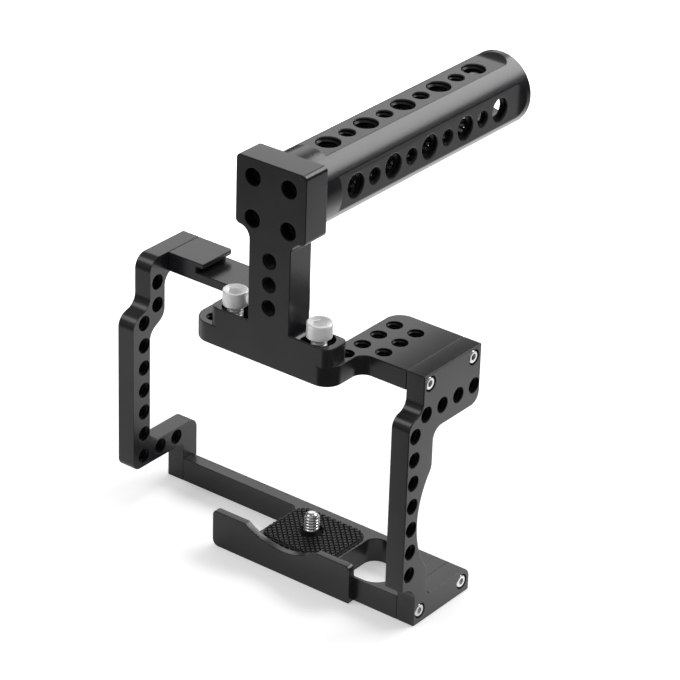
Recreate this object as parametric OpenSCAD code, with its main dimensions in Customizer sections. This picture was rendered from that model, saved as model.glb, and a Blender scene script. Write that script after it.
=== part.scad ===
// Camera cage with a top handle: four milled plates, a screwed-on bracket and a tubular grip.
// Widths run along X from the left plate's outer face, depths along Y from the front of the
// base, heights along Z from the ground. The finished part is moved so that its origin is the
// camera screw's axis at the seating face.

/* [Cage] */
// Width over both side plates
cage_w = 150; // [140:0.5:170]
// Height from the ground to the top plate's upper face
cage_h = 111.2; // [108:0.1:125]
// Depth of the frame, front plane to back face
cage_d = 36.9; // [35:0.1:45]
// Radius on the outer back edges of the base
back_edge_r = 4.5; // [1:0.1:6]

/* [Left side plate] */
// Thickness
left_t = 8.2; // [7:0.1:10]
// Front face of the upper arm
left_arm_front = 6.7; // [5:0.1:8]
// Back face of the upper arm's riser
left_arm_back = 15.9; // [14:0.1:18]
// Front face of the bar
left_bar_front = -3.6; // [-6:0.1:-2]
// Back face of the bar
left_bar_back = 6.85; // [5:0.1:9]
// Underside of the foot
left_foot_under = 17.8; // [14:0.1:19]
// Upper face of the foot
left_foot_top = 26.9; // [25:0.1:30]
// Distance of the front step's upper bend below the top
left_step_drop = 21; // [18:0.1:23]
// Slope of the front step's ramp
left_step_slope = 17; // [10:1:30]
// Distance of the back step's upper bend below the top
left_back_step_drop = 27.7; // [25:0.1:31]
// Slope of the back step's ramp
left_back_step_slope = 29.4; // [20:0.1:40]
// Radius of the step bends
left_step_r = 6; // [3:0.1:7]
// Radius of the foot's lower front corner
left_heel_r = 4; // [3:0.1:8]
// Radius of the inner corners
left_inner_r = 6; // [2:0.1:7]
// Radius where the leg meets the foot
left_leg_r = 2; // [0.5:0.1:4]
// Depth position of the hole row in the bar
left_row_y = 3.1; // [2:0.1:4]
// Height of the lowest hole in the bar
left_row_z = 22.9; // [22:0.1:24]
// Depth position of the two holes in the upper arm
left_arm_row_y = 11.25; // [10.5:0.05:12]
// Distance of the upper of them below the top
left_arm_row_drop = 11.1; // [10.5:0.1:12]

/* [Right side plate] */
// Thickness
right_t = 8.5; // [7:0.1:10]
// Front face of the bar
right_bar_front = -8.55; // [-11:0.05:-8]
// Back face of the bar
right_bar_back = 7.5; // [6:0.1:10]
// Underside of the bar at the front
right_bar_under = 19.4; // [17:0.1:22]
// Radius of the hollow under the bar
right_under_r = 7.9; // [4:0.1:8.2]
// Distance of the step's upper bend below the top
right_step_drop = 15.2; // [13:0.1:16]
// Slope of the step's ramp
right_step_slope = 14; // [10:1:30]
// Radius of the step bends
right_step_r = 5; // [3:0.1:5.5]
// Height of the upper arm
right_arm_h = 25.5; // [23:0.1:27]
// Radius of the arm's lower back corner
right_arm_r = 5; // [2:0.1:8]
// Radius between the arm and the bar
right_inner_r = 5; // [2:0.1:6]
// Radius between the bar and the foot
right_foot_r = 4; // [2:0.1:5]
// Radius of the hand scoop
scoop_r = 36; // [33:0.1:38]
// Depth position of the hand scoop's centre
scoop_y = 35.6; // [35:0.1:37]
// Height of the hand scoop's centre
scoop_z = 46.5; // [44:0.1:48]
// Radius on the two ends of the scoop
scoop_edge_r = 6; // [1:0.1:7]
// Depth position of the hole row in the bar
right_row_y = -4.45; // [-5:0.05:-4]
// Height of the lowest hole in the bar
right_row_z = 26; // [25:0.1:27]
// Depth position of the first hole in the upper arm
right_arm_row_y = 2.2; // [1.5:0.1:2.7]
// Distance of the hole row in the upper arm below the top
right_arm_row_drop = 16.9; // [16:0.1:18]

/* [Top plate] */
// Thickness
top_t = 8.5; // [8:0.1:10]
// Thickness of the recessed rear bar
rear_bar_t = 4; // [3:0.1:5]
// Distance of the platform's left end before the first hole of the front row
platform_start = 7.6; // [7:0.1:10]
// Distance of the platform's right end past the last hole of the front row
platform_end = 10.25; // [8.5:0.05:11]
// Front face of the platform
platform_front = -19.7; // [-21:0.1:-19]
// Depth of the rear bar
rear_bar_d = 19.2; // [17:0.1:21]
// Width of the arm between the rear bar and the platform
arm_w = 11.5; // [10:0.1:13]
// Width of the gap between that arm and the right section
viewfinder_w = 35.9; // [33:0.1:38]
// Depth of the cut that takes off the arm's back corner
arm_cut_d = 9.4; // [7:0.1:12]
// Width that the cut leaves of the arm's back face
arm_cut_w = 4; // [2:0.1:6]
// Width of the right section
section_w = 32.1; // [31:0.1:34]
// Radius of the platform's front left corner
platform_left_r = 8.8; // [3:0.1:9.5]
// Radius of the platform's back left corner
platform_back_r = 2.5; // [1:0.1:6]
// Radius of the platform's front right corner
platform_right_r = 7.2; // [4:0.1:9]
// Radius between the platform and the right section
platform_neck_r = 5; // [3:0.1:8]
// Radius of the right section's back corner
section_r = 7; // [3:0.1:8]
// Radius of the inner corners
top_inner_r = 4.5; // [2:0.1:6]
// Width of the block beside the shoe
shoe_block_w = 14.6; // [12:0.1:16]
// Overhang of the shoe lip
shoe_lip_w = 3.6; // [3:0.1:5]
// Thickness of the shoe lip
shoe_lip_t = 2; // [1.5:0.1:2.2]
// Radius of the shoe lip's back corner
shoe_lip_r = 1.8; // [0.5:0.1:2.5]
// Distance of the first hole in the front row to the left of the arm
front_row_out = 3.5; // [2:0.1:4]
// Depth position of the front row of holes
front_row_y = -13.4; // [-14:0.1:-13]
// Distance of the left column of holes in the right section from the section's left face
section_row_in = 6.35; // [6:0.05:7]
// Depth position of the front hole in the right section's left column
section_row_y = -4.15; // [-4.5:0.05:-4]

/* [Bottom plate] */
// Thickness
base_t = 10.75; // [10.5:0.05:13]
// Depth of the rear rail
rail_d = 8.9; // [8:0.1:10]
// Left face of the platform under the camera
seat_left = 69.6; // [67:0.1:70]
// Right face of that platform, where the opening starts
seat_right = 107; // [106.5:0.1:108]
// Width left between the opening and the right side plate
window_web = 9.5; // [8.5:0.1:12.5]
// Front edge of the opening
window_front = 1.4; // [1.4:0.1:3]
// Width left between the opening and the back face
window_back_web = 6.6; // [6:0.1:8]
// Radius of the opening's left corners
window_left_r = 5.5; // [2:0.1:7]
// Radius of the opening's right corners
window_right_r = 8; // [2:0.1:9]
// Radius between the platform and the rail
rail_fillet_r = 3; // [1:0.1:5]
// Left end of the front lip
lip_left = 50.5; // [48:0.1:54]
// Distance of the front lip's right end from the right side plate
lip_right_gap = 21.1; // [15:0.1:24]
// Front face of the front lip
lip_front = -3.5; // [-5:0.1:-3]
// Height of the lip left of the hollow
lip_left_h = 16.3; // [14:0.1:20]
// Height of the lip right of the hollow
lip_right_h = 16.8; // [15:0.1:19]
// Radius of the hollow in the lip
lip_hollow_r = 31.7; // [30:0.1:35]
// Height of the lip at the middle of the hollow
lip_low_h = 10.8; // [10.8:0.1:13.5]
// Distance of the hollow's middle to the left of the camera screw
lip_hollow_shift = 1.5; // [0:0.1:3]
// Radius of the lip's lower left corner
lip_heel_r = 3; // [1:0.1:4]
// Radius of the lip's upper outer corners
lip_top_r = 2; // [0.5:0.1:3]

/* [Pad and camera screw] */
// Width position of the camera screw
screw_x = 86.6; // [86:0.1:88]
// Depth position of the camera screw
screw_y = 15.5; // [15:0.1:16]
// Width of the pad
pad_w = 35; // [33:0.1:35.2]
// Depth of the pad
pad_d = 28.1; // [26:0.1:28.5]
// Left edge of the pad
pad_left = 70.6; // [70.5:0.1:71]
// Front edge of the pad
pad_front = 1; // [0.8:0.1:1.5]
// Corner radius of the pad
pad_r = 6; // [1:0.1:8]
// Thickness of the pad
pad_t = 2; // [1.6:0.1:2.5]
// Depth of the recess that holds the pad
pad_recess = 0.75; // [0.3:0.05:1]
// Hole in the pad round the camera screw
pad_hole_d = 10; // [9.8:0.1:12]
// Height of the camera screw's tip above the pad
tip_h = 8.5; // [5:0.1:9]
// Rounding of the camera screw's tip
tip_round = 1.5; // [0.5:0.1:2]
// Diameter of the camera screw's head
screw_head_d = 14; // [12:0.1:15]
// Height of the camera screw's head
screw_head_h = 3.4; // [2.5:0.1:3.8]
// Play round the camera screw's head in its counterbore
screw_head_play = 0.5; // [0.2:0.1:1]
// Depth of the counterbore under the plate
screw_pocket = 4.5; // [4.3:0.1:5]
// Width of the coin slot
coin_slot_w = 1.8; // [1.2:0.1:2.5]
// Depth of the coin slot
coin_slot_d = 1.6; // [1:0.1:2]
// Diameter of the neck that the clip snaps round
neck_d = 4.9; // [4.5:0.1:5.2]
// Outer diameter of the clip
clip_d = 8.8; // [8:0.1:9.2]
// Thickness of the clip
clip_t = 0.7; // [0.5:0.05:0.9]
// Width of the clip's opening
clip_gap = 3.4; // [2.5:0.1:4]

/* [Handle] */
// Distance of the handle's middle to the right of the middle between its two screws
handle_shift = 0.65; // [0.5:0.05:0.7]
// Thickness of the bracket
bracket_t = 12.8; // [12.6:0.1:14]
// Thickness of the foot's ends past the pockets
foot_end_t = 2.85; // [1.5:0.05:5]
// Height of the foot
foot_h = 8.1; // [7:0.1:9]
// Corner radius of the foot
foot_r = 3.5; // [1:0.1:5]
// Width of the column
column_w = 20; // [18:0.1:22]
// Width of the head
head_w = 33.6; // [32:0.1:36]
// Underside of the head above the top plate
head_rise = 47.6; // [46:0.1:50]
// Height of the head
head_h = 28.8; // [27:0.1:30]
// Corner radius of the head
head_r = 2; // [0.5:0.1:3]
// Radius under the head
head_fillet_r = 5; // [2:0.1:6]
// Width of the pockets for the screw heads
pocket_w = 10.8; // [10.5:0.1:11.2]
// Depth of the pockets
pocket_depth = 2.8; // [2:0.1:4]
// Length of the slots between the middles of their ends
slot_travel = 6.4; // [4:0.1:7]
// Side clearance of the screw shanks in the slots
slot_clear = 0.2; // [0.1:0.05:0.4]
// Height of the lowest hole in the column above the top plate
column_row_rise = 16.7; // [15:0.1:18]
// Distance between the holes in the column
column_pitch = 9.85; // [9:0.05:10.5]
// Height of the grip's axis above the underside of the head
grip_rise = 12.6; // [12:0.1:14]
// Radius of the grip
grip_r = 15.65; // [15:0.05:17]
// Length of the grip
grip_l = 136; // [130:0.1:150]
// Radius of the bore in the grip
grip_bore_r = 10.75; // [9:0.05:11]
// Thickness of the grip's closed front end
grip_end_t = 12; // [11:0.1:14]
// Distance of the milled flats from the grip's axis
flat_r = 13.85; // [13.5:0.05:14.6]
// Start of the flats, from the bracket
flat_start = 11; // [9.5:0.1:12.5]
// End of the flats, from the bracket
flat_end = 127; // [124:0.1:129]
// Radius of the run-outs at the flats' far ends
flat_end_r = 8; // [7:0.1:9]
// Rounding of the grip's back edge
grip_edge_r = 1.2; // [0.5:0.1:2]
// Distance of the first grip hole from the bracket
grip_row_start = 21.5; // [21:0.1:23]
// Distance between the grip holes
grip_pitch = 11.8; // [11.2:0.1:12]
// Distance of the grip screws from the grip's axis, across and up
grip_screw_offset = 8.6; // [8.3:0.05:8.8]
// Depth of the counterbores for the grip screws
grip_screw_pocket = 8; // [6:0.1:9]

/* [Holes and screws] */
// Distance between holes in the frame
hole_pitch = 10.25; // [10:0.05:10.5]
// Diameter over the thread of a quarter inch screw
quarter_d = 6.35; // [6:0.05:6.6]
// Diameter over the thread of a three eighths inch screw
three_eighths_d = 9.525; // [9:0.005:9.7]
// Running clearance on the diameter of a tapped hole
thread_clear = 0.15; // [0.05:0.01:0.2]
// Diameter of a handle screw's head
handle_head_d = 10.2; // [9.5:0.1:10.3]
// Height of a handle screw's head
handle_head_h = 6.3; // [5.5:0.1:7]
// Height of the raised handle screws' heads above the foot
handle_screw_lift = 0.9; // [0.3:0.1:3]
// Length of a handle screw's shank
handle_shank_l = 15; // [13:0.1:17]
// Size across the flats of a handle screw's socket
handle_socket_w = 5; // [4:0.1:5.6]
// Depth of a handle screw's socket
handle_socket_h = 3.2; // [2:0.1:4]
// Thread diameter of the frame screws
frame_screw_d = 3; // [2.5:0.1:3.5]
// Head diameter of the frame screws
frame_head_d = 5.5; // [5:0.1:6]
// Head height of the frame screws
frame_head_h = 3; // [2.5:0.1:3.2]
// Shank length of the frame screws
frame_shank_l = 12; // [10:0.1:14]
// Counterbore diameter for the frame screws
frame_pocket_d = 6.4; // [6.2:0.1:7]
// Counterbore depth for the frame screws
frame_pocket = 3.2; // [3.2:0.1:4]
// Size across the flats of a frame screw's socket
frame_socket_w = 2.5; // [2:0.1:3]
// Depth of a frame screw's socket
frame_socket_h = 1.6; // [1:0.1:2]
// Depth position of the right plate's front screws
right_screw_front = 4; // [3.6:0.1:4.5]
// Distance of the right plate's back screws from the back face
right_screw_in = 4.9; // [4:0.1:6]
// Distance between the left plate's two upper screws
left_screw_pitch = 10.5; // [8:0.1:11]
// Distance of the left plate's back screws from the back face
left_screw_in = 4.4; // [4:0.1:5]
// Height of the lower frame screws
base_screw_z = 5.6; // [5:0.1:6]
// Thread diameter of the grip screws
grip_screw_d = 4; // [3.5:0.1:4.2]
// Head diameter of the grip screws
grip_head_d = 7; // [6.5:0.1:7]
// Head height of the grip screws
grip_head_h = 4; // [3:0.1:4.5]
// Shank length of the grip screws
grip_shank_l = 12; // [10:0.1:13]
// Counterbore diameter for the grip screws
grip_pocket_d = 7.3; // [7.2:0.1:7.6]
// Size across the flats of a grip screw's socket
grip_socket_w = 3; // [2.5:0.1:3.5]
// Depth of a grip screw's socket
grip_socket_h = 2.2; // [1:0.1:2.5]

/* [Hidden] */
$fn = 64;
// How far a cut runs past the face it opens
overrun = 1;
// Play between a screw head or clip and the seat it turns on
seat_clear = 0.3;
// Least width between a hole row's last rim and the level of the step's upper bend
row_margin = 2;
// Play round the pad in its recess
pad_clear = 0.1;
// Play on the diameter of a plain hole round a fixed screw
plain_clear = 0.2;
// Taken off the radii of neighbouring arcs, so that a short straight parts them
arc_gap = 0.4;
// Spare depth of a blind tapped hole past its screw
tap_spare = 1.5;
// Chamfer on the edge of a screw head and the end of a shank
screw_chamfer = 0.4;
// How far past the handle screws' middles the slots run before the shanks reach their ends
slot_play = 0.25;
// How far short of round the screws the pockets end
pocket_inset = 0.4;
black_anodised = [0.07, 0.07, 0.075];
steel = [0.78, 0.78, 0.8];
black_steel = [0.05, 0.05, 0.055];
rubber = [0.04, 0.04, 0.04];

quarter_hole_d = quarter_d + thread_clear;
three_eighths_hole_d = three_eighths_d + thread_clear;
frame_tap_d = frame_screw_d + thread_clear;
grip_tap_d = grip_screw_d + thread_clear;
top_under = cage_h - top_t;
top_screw_z = cage_h - top_t / 2;
right_face = cage_w - right_t;
left_step_top = cage_h - left_step_drop;
left_back_step_top = cage_h - left_back_step_drop;
right_step_top = cage_h - right_step_drop;
right_arm_under = cage_h - right_arm_h;
right_arm_row_z = cage_h - right_arm_row_drop;
section_left = right_face - section_w;
section_row_x = section_left + section_row_in;
arm_right = section_left - viewfinder_w;
arm_left = arm_right - arm_w;
arm_cut_x = arm_left + arm_cut_w;
arm_cut_y = cage_d - arm_cut_d;
rear_bar_front = cage_d - rear_bar_d;
front_row_x = arm_left - front_row_out;
platform_left = front_row_x - platform_start;
platform_right = front_row_x + 5 * hole_pitch + platform_end;
window_right = right_face - window_web;
window_back = cage_d - window_back_web;
lip_right = right_face - lip_right_gap;
rail_front = cage_d - rail_d;
right_screw_back = cage_d - right_screw_in;
left_screw_back = cage_d - left_screw_in;
left_screw_front = left_screw_back - left_screw_pitch;
recess_floor = base_t - pad_recess;
seat_z = recess_floor + pad_t;
platform_back = 0;
shoe_block_right = left_t + shoe_block_w;
bracket_front = platform_front;
bracket_back = bracket_front + bracket_t;
bracket_mid = bracket_front + bracket_t / 2;
handle_screw_gap = 4 * hole_pitch;
handle_x = front_row_x + hole_pitch + handle_screw_gap / 2 + handle_shift;
slot_outer = handle_screw_gap / 2 + handle_shift + slot_play;
slot_inner = slot_outer - slot_travel;
pocket_end = slot_outer + pocket_w / 2 - pocket_inset;
foot_w = 2 * (pocket_end + foot_end_t);
foot_top = cage_h + foot_h;
head_under = cage_h + head_rise;
head_top = head_under + head_h;
grip_z = head_under + grip_rise;
column_row_z = cage_h + column_row_rise;
handle_screw_seat = foot_top + handle_screw_lift;
grip_screw_seat = bracket_front + grip_screw_pocket;

function unit(v) = v / norm(v);
function turn(a, b) = a[0] * b[1] - a[1] * b[0];
function point(p) = [p[0], p[1]];
// Whether corner i of an outline of [x, y, radius] points, listed anticlockwise, points outwards
function is_convex(pts, i) = let(n = len(pts), p = point(pts[i]),
    a = point(pts[(i + n - 1) % n]), b = point(pts[(i + 1) % n])) turn(p - a, b - p) > 0;

// Between corner i of an outline and its rounding, and a little past the edges that meet there
module corner(pts, i) {
    n = len(pts);
    p = point(pts[i]);
    before = unit(point(pts[(i + n - 1) % n]) - p);
    after = unit(point(pts[(i + 1) % n]) - p);
    half = acos(before * after) / 2;
    r = pts[i][2];
    reach = r / tan(half);
    centre = p + unit(before + after) * r / sin(half);
    past = (r + overrun) / r;
    translate(centre) difference() {
        polygon([for (q = [p, p + before * reach, centre, p + after * reach]) (q - centre) * past]);
        circle(r = r);
    }
}

// Outline of [x, y, radius] points, listed anticlockwise, with each corner rounded to its radius
module outline(pts) {
    difference() {
        union() {
            polygon([for (p = pts) point(p)]);
            for (i = [0:len(pts) - 1]) if (pts[i][2] > 0 && !is_convex(pts, i)) corner(pts, i);
        }
        for (i = [0:len(pts) - 1]) if (pts[i][2] > 0 && is_convex(pts, i)) corner(pts, i);
    }
}

// Prism along X over an outline of [depth, height, radius] points
module along_x(x, length, pts) {
    translate([x, 0, 0]) rotate([90, 0, 90]) linear_extrude(height = length) outline(pts);
}

// Hole of a given diameter along Z, from the height z0 up to z1
module hole_z(x, y, z0, z1, d) {
    translate([x, y, z0 - overrun]) cylinder(d = d, h = z1 - z0 + 2 * overrun);
}

// Hole of a given diameter along Y, from y0 back to y1
module hole_y(x, z, y0, y1, d) {
    translate([x, y0 - overrun, z]) rotate([-90, 0, 0]) cylinder(d = d, h = y1 - y0 + 2 * overrun);
}

// Hole of a given diameter along X, from x0 to x1
module hole_x(y, z, x0, x1, d) {
    translate([x0 - overrun, y, z]) rotate([0, 90, 0]) cylinder(d = d, h = x1 - x0 + 2 * overrun);
}

// Number of the last hole, counted from 0, in a side plate's row that starts at height z0
function row_end(z0, step_top) =
    floor((step_top - quarter_hole_d / 2 - row_margin - z0) / hole_pitch);

// Quarter inch hole through a side plate that starts at x0
module side_hole(y, z, x0, t) {
    hole_x(y, z, x0, x0 + t, quarter_hole_d);
}

// Counterbored hole for a frame screw, its mouth at the origin and running along -Z
module frame_screw_hole(t) {
    translate([0, 0, -t - overrun]) cylinder(d = frame_screw_d + plain_clear, h = t + 2 * overrun);
    translate([0, 0, -frame_pocket]) cylinder(d = frame_pocket_d, h = frame_pocket + overrun);
}

// Tapped hole for a frame screw behind a plate of thickness t, its mouth at the origin, along -Z
module frame_tap(t) {
    depth = frame_shank_l - (t - frame_pocket) + tap_spare;
    translate([0, 0, -depth]) cylinder(d = frame_tap_d, h = depth + overrun);
}

// Places things at a point of the left or right outer face, with +Z pointing out of it
module on_left(y, z, x = 0) {
    translate([x, y, z]) rotate([0, -90, 0]) children();
}

module on_right(y, z, x = cage_w) {
    translate([x, y, z]) rotate([0, 90, 0]) children();
}

// Socket screw with its head's seat at the origin, head up and shank down
module cap_screw(head_d, head_h, shank_d, shank_l, socket_w, socket_h) {
    chamfer = screw_chamfer;
    difference() {
        union() {
            cylinder(d = head_d, h = head_h - chamfer);
            translate([0, 0, head_h - chamfer])
                cylinder(d1 = head_d, d2 = head_d - 2 * chamfer, h = chamfer);
            translate([0, 0, chamfer - shank_l]) cylinder(d = shank_d, h = shank_l - chamfer);
            translate([0, 0, -shank_l])
                cylinder(d1 = shank_d - 2 * chamfer, d2 = shank_d, h = chamfer);
        }
        translate([0, 0, head_h - socket_h])
            cylinder(d = socket_w / cos(30), h = socket_h + overrun, $fn = 6);
    }
}

module frame_screw() {
    color(steel) cap_screw(frame_head_d, frame_head_h, frame_screw_d, frame_shank_l,
        frame_socket_w, frame_socket_h);
}

module left_side_plate() {
    back_top = left_back_step_top;
    back_run = left_arm_back - left_bar_back;
    front_run = left_arm_front - left_bar_front;
    profile = [
        [rail_front, 0, 0],
        [cage_d, 0, 0],
        [cage_d, left_foot_top, back_edge_r],
        [left_bar_back, left_foot_top, left_inner_r],
        [left_bar_back, back_top - back_run * tan(left_back_step_slope), left_step_r],
        [left_arm_back, back_top, left_step_r],
        [left_arm_back, top_under, left_inner_r],
        [cage_d, top_under, 0],
        [cage_d, cage_h, 0],
        [left_arm_front, cage_h, left_inner_r],
        [left_arm_front, left_step_top, left_step_r],
        [left_bar_front, left_step_top - front_run * tan(left_step_slope), left_step_r],
        [left_bar_front, left_foot_under, left_heel_r],
        [rail_front, left_foot_under, left_leg_r]
    ];
    color(black_anodised) difference() {
        along_x(0, left_t, profile);
        for (k = [0:row_end(left_row_z, left_step_top)])
            side_hole(left_row_y, left_row_z + k * hole_pitch, 0, left_t);
        for (k = [1:2]) side_hole(left_row_y + k * hole_pitch, left_row_z, 0, left_t);
        for (k = [1:2])
            side_hole(left_arm_row_y, cage_h - left_arm_row_drop - (k - 1) * hole_pitch, 0, left_t);
        for (y = [left_screw_front, left_screw_back])
            on_left(y, top_screw_z) frame_screw_hole(left_t);
        on_left(left_screw_back, base_screw_z) frame_screw_hole(left_t);
    }
}

module right_side_plate() {
    back = right_bar_back;
    // The rounding of each scoop end touches the bar's back face and the scoop's arc
    reach = scoop_r + scoop_edge_r;
    rise = sqrt(pow(reach, 2) - pow(scoop_y - back + scoop_edge_r, 2));
    sweep = asin(rise / reach);
    end_rise = rise - scoop_edge_r * tan(sweep / 2);
    half_rise = scoop_r * tan(sweep / 2);
    front_run = -right_bar_front;
    profile = [
        [0, 0, 0],
        [cage_d, 0, 0],
        [cage_d, base_t, back_edge_r],
        [back, base_t, right_foot_r],
        [back, scoop_z - end_rise, scoop_edge_r - arc_gap],
        [scoop_y - scoop_r, scoop_z - half_rise, scoop_r - arc_gap],
        [scoop_y - scoop_r, scoop_z + half_rise, scoop_r - arc_gap],
        [back, scoop_z + end_rise, scoop_edge_r - arc_gap],
        [back, right_arm_under, right_inner_r],
        [cage_d, right_arm_under, right_arm_r],
        [cage_d, cage_h, 0],
        [0, cage_h, 0],
        [0, right_step_top, right_step_r],
        [right_bar_front, right_step_top - front_run * tan(right_step_slope), right_step_r],
        [right_bar_front, right_bar_under, 0],
        [0, right_bar_under, right_under_r]
    ];
    color(black_anodised) difference() {
        along_x(right_face, right_t, profile);
        for (k = [0:row_end(right_row_z, right_step_top)])
            side_hole(right_row_y, right_row_z + k * hole_pitch, right_face, right_t);
        for (k = [0:3])
            side_hole(right_arm_row_y + k * hole_pitch, right_arm_row_z, right_face, right_t);
        for (y = [right_screw_front, right_screw_back]) {
            on_right(y, top_screw_z) frame_screw_hole(right_t);
            on_right(y, base_screw_z) frame_screw_hole(right_t);
        }
    }
}

// Plan of the top plate's platform, arm and right section, without the rear bar
function platform_front_edge() = [
    [platform_left, platform_front, platform_left_r],
    [platform_right, platform_front, platform_right_r],
    [platform_right, platform_back, platform_neck_r],
    [right_face, platform_back, 0],
    [right_face, cage_d, 0],
    [section_left, cage_d, section_r],
    [section_left, platform_back, top_inner_r],
    [arm_right, platform_back, top_inner_r],
    [arm_right, arm_cut_y, 0],
    [arm_cut_x, cage_d, 0]
];

function platform_left_edge() = [
    [arm_left, platform_back, top_inner_r],
    [platform_left, platform_back, platform_back_r]
];

module top_plate() {
    rear_bar = [
        [left_t, cage_d, 0],
        [left_t, rear_bar_front, 0],
        [arm_left, rear_bar_front, top_inner_r]
    ];
    bar_top = top_under + rear_bar_t;
    color(black_anodised) difference() {
        union() {
            translate([0, 0, top_under]) linear_extrude(height = rear_bar_t)
                outline(concat(platform_front_edge(), rear_bar, platform_left_edge()));
            translate([0, 0, bar_top]) linear_extrude(height = cage_h - bar_top)
                outline(concat(platform_front_edge(), [[arm_left, cage_d, 0]], platform_left_edge()));
            translate([left_t, rear_bar_front, bar_top])
                cube([shoe_block_w, cage_d - rear_bar_front, cage_h - bar_top]);
            translate([0, 0, cage_h - shoe_lip_t]) linear_extrude(height = shoe_lip_t)
                outline([
                    [left_t, rear_bar_front, 0],
                    [shoe_block_right + shoe_lip_w, rear_bar_front, 0],
                    [shoe_block_right + shoe_lip_w, cage_d, shoe_lip_r],
                    [left_t, cage_d, 0]
                ]);
        }
        for (k = [0:5])
            hole_z(front_row_x + k * hole_pitch, front_row_y, top_under, cage_h, quarter_hole_d);
        for (k = [0:3])
            hole_z(section_row_x, section_row_y + k * hole_pitch, top_under, cage_h, quarter_hole_d);
        for (k = [1:3])
            hole_z(section_row_x + hole_pitch, section_row_y + k * hole_pitch, top_under, cage_h,
                quarter_hole_d);
        for (y = [left_screw_front, left_screw_back])
            on_left(y, top_screw_z, left_t) frame_tap(left_t);
        for (y = [right_screw_front, right_screw_back])
            on_right(y, top_screw_z, right_face) frame_tap(right_t);
    }
}

// Plan of the pad, grown by a clearance
module pad_plan(play) {
    outline([
        [pad_left - play, pad_front - play, pad_r + play],
        [pad_left + pad_w + play, pad_front - play, pad_r + play],
        [pad_left + pad_w + play, pad_front + pad_d + play, pad_r + play],
        [pad_left - play, pad_front + pad_d + play, pad_r + play]
    ]);
}

// Front lip with the hollow that clears the lens
module front_lip() {
    hollow_z = lip_low_h + lip_hollow_r;
    rotate([90, 0, 0]) linear_extrude(height = -lip_front) difference() {
        union() {
            outline([
                [lip_left, 0, lip_heel_r],
                [screw_x, 0, 0],
                [screw_x, lip_left_h, 0],
                [lip_left, lip_left_h, lip_top_r]
            ]);
            outline([
                [screw_x, 0, 0],
                [lip_right, 0, 0],
                [lip_right, lip_right_h, lip_top_r],
                [screw_x, lip_right_h, 0]
            ]);
        }
        translate([screw_x - lip_hollow_shift, hollow_z]) circle(r = lip_hollow_r);
    }
}

module bottom_plate() {
    plan = [
        [seat_left, 0, 0],
        [right_face, 0, 0],
        [right_face, cage_d, 0],
        [left_t, cage_d, 0],
        [left_t, rail_front, 0],
        [seat_left, rail_front, rail_fillet_r]
    ];
    side = [[-overrun, 0, 0], [cage_d, 0, 0], [cage_d, base_t, back_edge_r], [-overrun, base_t, 0]];
    window = [
        [seat_right, window_front, window_left_r],
        [window_right, window_front, window_right_r],
        [window_right, window_back, window_right_r],
        [seat_right, window_back, window_left_r]
    ];
    color(black_anodised) difference() {
        union() {
            intersection() {
                linear_extrude(height = base_t) outline(plan);
                along_x(0, cage_w, side);
            }
            front_lip();
        }
        translate([0, 0, -overrun]) linear_extrude(height = base_t + 2 * overrun) outline(window);
        translate([0, 0, recess_floor]) linear_extrude(height = pad_recess + overrun)
            pad_plan(pad_clear);
        hole_z(screw_x, screw_y, 0, base_t, quarter_hole_d);
        translate([screw_x, screw_y, -overrun])
            cylinder(d = screw_head_d + 2 * screw_head_play, h = screw_pocket + overrun);
        on_left(left_screw_back, base_screw_z, left_t) frame_tap(left_t);
        for (y = [right_screw_front, right_screw_back])
            on_right(y, base_screw_z, right_face) frame_tap(right_t);
    }
}

module anti_slip_pad() {
    color(rubber) difference() {
        translate([0, 0, recess_floor]) linear_extrude(height = pad_t) pad_plan(0);
        hole_z(screw_x, screw_y, recess_floor, seat_z, pad_hole_d);
    }
}

module camera_screw() {
    head_top = screw_pocket - seat_clear;
    head_base = head_top - screw_head_h;
    tip_z = seat_z + tip_h;
    neck_z = recess_floor + plain_clear;
    color(steel) translate([screw_x, screw_y, 0]) difference() {
        union() {
            translate([0, 0, head_base]) cylinder(d = screw_head_d, h = screw_head_h);
            translate([0, 0, head_base]) cylinder(d = quarter_d, h = tip_z - tip_round - head_base);
            translate([0, 0, tip_z - tip_round])
                cylinder(d1 = quarter_d, d2 = quarter_d - 2 * tip_round, h = tip_round);
        }
        translate([0, 0, neck_z]) difference() {
            cylinder(d = quarter_d + overrun, h = seat_z - neck_z);
            translate([0, 0, -overrun]) cylinder(d = neck_d, h = seat_z - neck_z + 2 * overrun);
        }
        translate([-screw_head_d, -coin_slot_w / 2, head_base - overrun])
            cube([2 * screw_head_d, coin_slot_w, coin_slot_d + overrun]);
    }
}

// Open clip that snaps round the camera screw's neck and can't pass through the plate
module camera_screw_clip() {
    inner_d = neck_d + plain_clear / 2;
    color(black_steel) translate([screw_x, screw_y, recess_floor + seat_clear])
        linear_extrude(height = clip_t) difference() {
            circle(d = clip_d);
            circle(d = inner_d);
            translate([-clip_gap / 2, 0]) square([clip_gap, clip_d]);
        }
}

// Places things at each grip screw, numbered from the upper left anticlockwise seen from the front
module at_grip_screw(i) {
    across = (i == 1 || i == 2) ? -grip_screw_offset : grip_screw_offset;
    up = (i == 1 || i == 4) ? grip_screw_offset : -grip_screw_offset;
    translate([handle_x + across, 0, grip_z + up]) children();
}

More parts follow.
